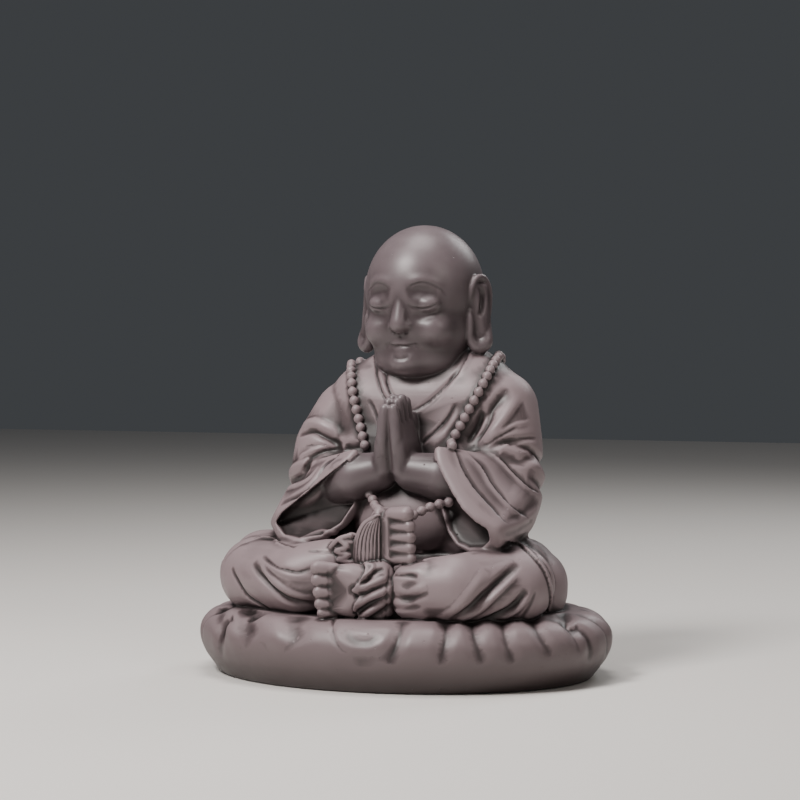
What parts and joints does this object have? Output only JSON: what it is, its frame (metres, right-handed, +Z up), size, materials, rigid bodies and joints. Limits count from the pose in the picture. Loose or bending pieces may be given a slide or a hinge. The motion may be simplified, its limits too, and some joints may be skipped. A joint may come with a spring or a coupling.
{
  "type": "praying buddha statue",
  "caption": "Seated chubby monk with palms pressed together, crossed legs, pleated robe, long bead string and tassel, cast in one piece with the stuffed oval cushion under him.",
  "frame": {"origin": "middle of the flat underside of the cushion", "axes": "+X to the figure's left, the figure faces -Y, +Z up"},
  "size_m": [0.3773, 0.2934, 0.4],
  "materials": {
    "cast_stone": "satin, dark brown grey, dusty on what faces up"
  },
  "bodies": {
    "root": {"praying_buddha_statue": "cast_stone"}
  },
  "joints": []
}
